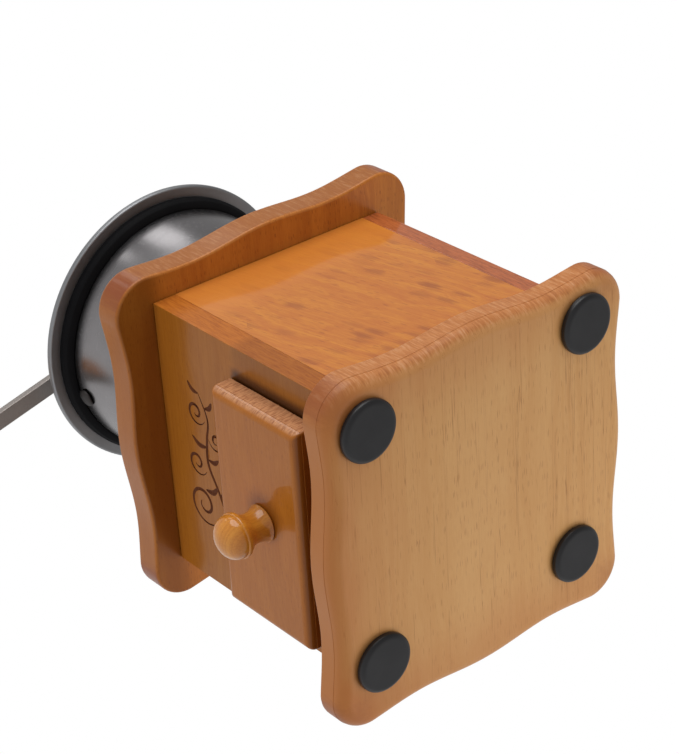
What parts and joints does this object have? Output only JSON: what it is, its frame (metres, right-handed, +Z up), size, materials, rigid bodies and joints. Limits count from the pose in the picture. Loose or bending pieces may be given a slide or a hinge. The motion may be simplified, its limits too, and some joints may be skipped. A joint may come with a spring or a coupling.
{
  "type": "burr coffee grinder",
  "caption": "Hand-cranked wooden box coffee grinder with an open steel hopper bowl, conical burrs and a front drawer for the grounds.",
  "frame": {"origin": "where the crank spindle axis meets the underside of the base board; the feet reach 3 mm below it", "axes": "+Z up along the spindle axis, -Y towards the drawer front, +X to the right when facing the drawer"},
  "size_m": [0.1374, 0.1792, 0.2299],
  "materials": {
    "beech": "clear varnish, satin",
    "stained_beech": "amber gloss varnish",
    "reddish_beech": "amber gloss varnish",
    "plain_wood": "bare, sanded",
    "turned_wood": "amber gloss varnish",
    "polished_steel": "polished",
    "satin_steel": "satin",
    "arm_steel": "satin",
    "plated_steel": "zinc plated",
    "brass": "plain",
    "cast_iron": "as cast",
    "rubber": "matt",
    "black_collar": "semi-gloss"
  },
  "bodies": {
    "case": {"base_board": "beech", "foot_front_right": "rubber", "foot_back_right": "rubber", "foot_back_left": "rubber", "foot_front_left": "rubber", "front_panel": "stained_beech", "back_panel": "stained_beech", "right_panel": "stained_beech", "left_panel": "stained_beech", "top_board": "reddish_beech", "drawer_runner_right": "plain_wood", "drawer_runner_left": "plain_wood", "hopper_bowl": "polished_steel", "hopper_collar": "black_collar", "hopper_rim": "satin_steel", "hopper_screw_1": "plated_steel", "hopper_screw_2": "plated_steel", "hopper_screw_3": "plated_steel", "bridge_strap": "satin_steel", "bridge_rivet_front": "satin_steel", "bridge_rivet_back": "satin_steel", "top_bush": "brass", "burr_housing": "cast_iron", "housing_screw_1": "plated_steel", "housing_screw_2": "plated_steel", "housing_screw_3": "plated_steel", "outer_burr": "cast_iron", "bearing_strap": "plated_steel", "strap_screw_1": "plated_steel", "strap_screw_2": "plated_steel", "low_bush": "brass"},
    "drawer": {"drawer_front": "stained_beech", "drawer_side_right": "plain_wood", "drawer_side_left": "plain_wood", "drawer_back": "plain_wood", "drawer_floor": "plain_wood", "drawer_knob": "turned_wood", "drawer_knob_screw": "plated_steel"},
    "spindle": {"shaft_spring": "plated_steel", "spring_seat": "plated_steel", "shaft_clip": "plated_steel", "drive_shaft": "plated_steel", "inner_burr": "cast_iron", "lock_plate": "plated_steel", "crank_sleeve": "plated_steel", "crank_arm": "arm_steel", "cap_nut": "plated_steel", "grip_pin": "plated_steel", "grip_cap": "brass"},
    "adjuster": {"adjuster_nut": "plated_steel"},
    "grip": {"crank_grip": "turned_wood"}
  },
  "joints": [
    {"name": "drawer_slide", "type": "slide", "parent": "case", "child": "drawer", "axis": [0, -1, 0], "range_m": [0, 0.075]},
    {"name": "crank_turn", "type": "hinge", "parent": "case", "child": "spindle", "pos_m": [0, 0, 0.15], "axis": [0, 0, 1], "continuous": true},
    {"name": "adjuster_turn", "type": "hinge", "parent": "spindle", "child": "adjuster", "pos_m": [0, 0, 0.1834], "axis": [0, 0, 1], "range_deg": [-180, 180]},
    {"name": "grip_spin", "type": "hinge", "parent": "spindle", "child": "grip", "pos_m": [-0.02351, -0.0972, 0.191], "axis": [0, 0, 1], "continuous": true}
  ]
}
